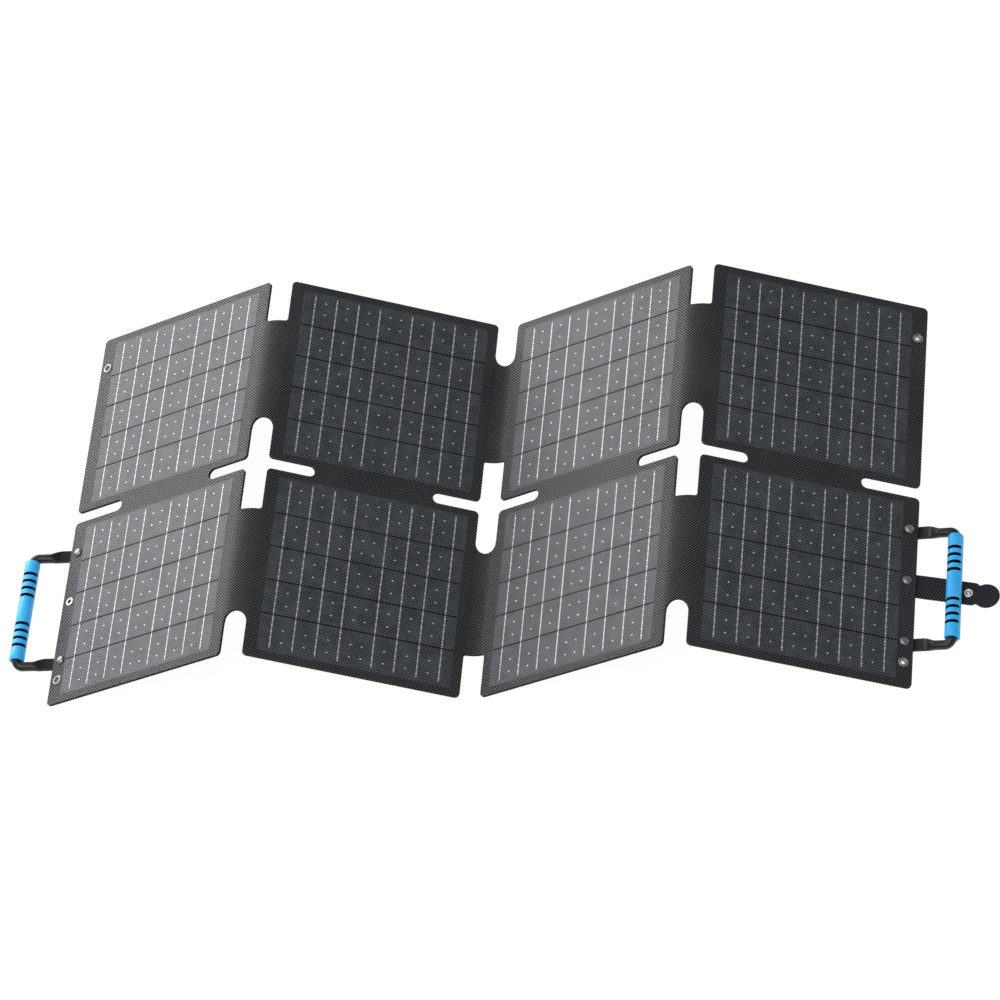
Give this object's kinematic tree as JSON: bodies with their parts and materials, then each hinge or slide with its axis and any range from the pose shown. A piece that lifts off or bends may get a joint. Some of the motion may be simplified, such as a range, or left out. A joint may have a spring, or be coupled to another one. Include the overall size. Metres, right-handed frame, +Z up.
{
  "type": "folding solar panel",
  "caption": "Portable folding solar panel with rows of laminated cell panels hinged by fabric creases, a carry handle at each end, corner eyelets and a snap strap.",
  "frame": {"origin": "middle of the footprint, on the surface it lies on", "axes": "+X across the columns towards the strap end, +Y from the handle row to the other row, +Z up from the ground, the cells facing up"},
  "size_m": [0.9978, 0.4428, 0.1029],
  "materials": {
    "laminate": "black textured laminate, fine woven emboss, satin",
    "solar_cell": "dark blue-grey monocrystalline cells under clear film, tinned ribbons",
    "core_board": "glass-fibre board, dull",
    "backing_fabric": "coated black polyester, plain weave",
    "nickel": "bright nickel plate",
    "moulded_black": "moulded black polymer, satin",
    "grip_blue": "blue soft-touch elastomer",
    "webbing": "black woven webbing",
    "box_plastic": "moulded black box, lightly textured",
    "screw_steel": "zinc-plated steel"
  },
  "bodies": {
    "column_1": {"front_skin_1": "laminate", "back_fabric_1": "backing_fabric", "cell_string_upper_1": "solar_cell", "core_board_upper_1": "core_board", "cell_string_lower_1": "solar_cell", "core_board_lower_1": "core_board", "crease_web_upper_1": "laminate", "crease_web_lower_1": "laminate", "eyelet_left_upper": "nickel", "rivet_left_upper": "nickel", "handle_tab_left_upper": "moulded_black", "eyelet_left_lower": "nickel", "rivet_left_lower": "nickel", "handle_tab_left_lower": "moulded_black", "snap_stud": "nickel"},
    "column_2": {"front_skin_2": "laminate", "back_fabric_2": "backing_fabric", "cell_string_upper_2": "solar_cell", "core_board_upper_2": "core_board", "cell_string_lower_2": "solar_cell", "core_board_lower_2": "core_board", "crease_web_upper_2": "laminate", "crease_web_lower_2": "laminate"},
    "column_3": {"front_skin_3": "laminate", "back_fabric_3": "backing_fabric", "cell_string_upper_3": "solar_cell", "core_board_upper_3": "core_board", "cell_string_lower_3": "solar_cell", "core_board_lower_3": "core_board", "crease_web_upper_3": "laminate", "crease_web_lower_3": "laminate"},
    "column_4": {"front_skin_4": "laminate", "back_fabric_4": "backing_fabric", "cell_string_upper_4": "solar_cell", "core_board_upper_4": "core_board", "cell_string_lower_4": "solar_cell", "core_board_lower_4": "core_board", "eyelet_right_upper": "nickel", "rivet_right_upper": "nickel", "handle_tab_right_upper": "moulded_black", "eyelet_right_lower": "nickel", "rivet_right_lower": "nickel", "handle_tab_right_lower": "moulded_black", "rivet_strap": "nickel", "junction_box_base": "box_plastic", "junction_box_lid": "box_plastic", "junction_cable_gland": "box_plastic", "junction_terminal_board": "core_board", "junction_screw_1": "screw_steel", "junction_screw_2": "screw_steel", "junction_screw_3": "screw_steel", "junction_screw_4": "screw_steel"},
    "handle_left": {"handle_bow_left": "moulded_black", "grip_left": "grip_blue"},
    "handle_right": {"handle_bow_right": "moulded_black", "grip_right": "grip_blue"},
    "strap_root": {"strap_root": "webbing"},
    "strap_web": {"strap_web": "webbing"},
    "strap_tip": {"strap_tip": "webbing", "strap_snap": "nickel"}
  },
  "joints": [
    {"name": "crease_1", "type": "hinge", "parent": "column_1", "child": "column_2", "pos_m": [-0.2371, 0, 0.09944], "axis": [0, 1, 0], "range_deg": [-50.6, 129.4], "deforming": ["crease_web_upper_1", "crease_web_lower_1"]},
    {"name": "crease_2", "type": "hinge", "parent": "column_2", "child": "column_3", "pos_m": [-0.01765, 0, 0.00195], "axis": [0, -1, 0], "range_deg": [-50.4, 128.81], "deforming": ["crease_web_upper_2", "crease_web_lower_2"]},
    {"name": "crease_3", "type": "hinge", "parent": "column_3", "child": "column_4", "pos_m": [0.2018, 0, 0.09667], "axis": [0, 1, 0], "range_deg": [-50.61, 129.41], "deforming": ["crease_web_upper_3", "crease_web_lower_3"]},
    {"name": "handle_left", "type": "hinge", "parent": "column_1", "child": "handle_left", "pos_m": [-0.452, -0.1074, 0.00099], "axis": [0, 1, 0], "range_deg": [-43, 50]},
    {"name": "handle_right", "type": "hinge", "parent": "column_4", "child": "handle_right", "pos_m": [0.41669, -0.1074, 0.00099], "axis": [0, -1, 0], "range_deg": [0, 46]},
    {"name": "strap_swivel", "type": "hinge", "parent": "column_4", "child": "strap_root", "pos_m": [0.40822, -0.1024, 0.00814], "axis": [0.4226, 0, 0.9063], "range_deg": [0, 8]},
    {"name": "strap_bend", "type": "hinge", "parent": "strap_root", "child": "strap_web", "pos_m": [0.41474, -0.1039, 0.00003], "axis": [0.1835, 0.983, 0], "range_deg": [0, 93.7]},
    {"name": "strap_tip_bend", "type": "hinge", "parent": "strap_web", "child": "strap_tip", "pos_m": [0.44521, -0.10959, 0.00003], "axis": [0.1835, 0.983, 0], "range_deg": [0, 110.62]}
  ],
  "couplings": [
    {"joint": "crease_2", "follows": "crease_1", "ratio": 0.99536},
    {"joint": "crease_3", "follows": "crease_1", "ratio": 1},
    {"joint": "strap_tip_bend", "follows": "strap_bend", "ratio": 1.1804}
  ]
}
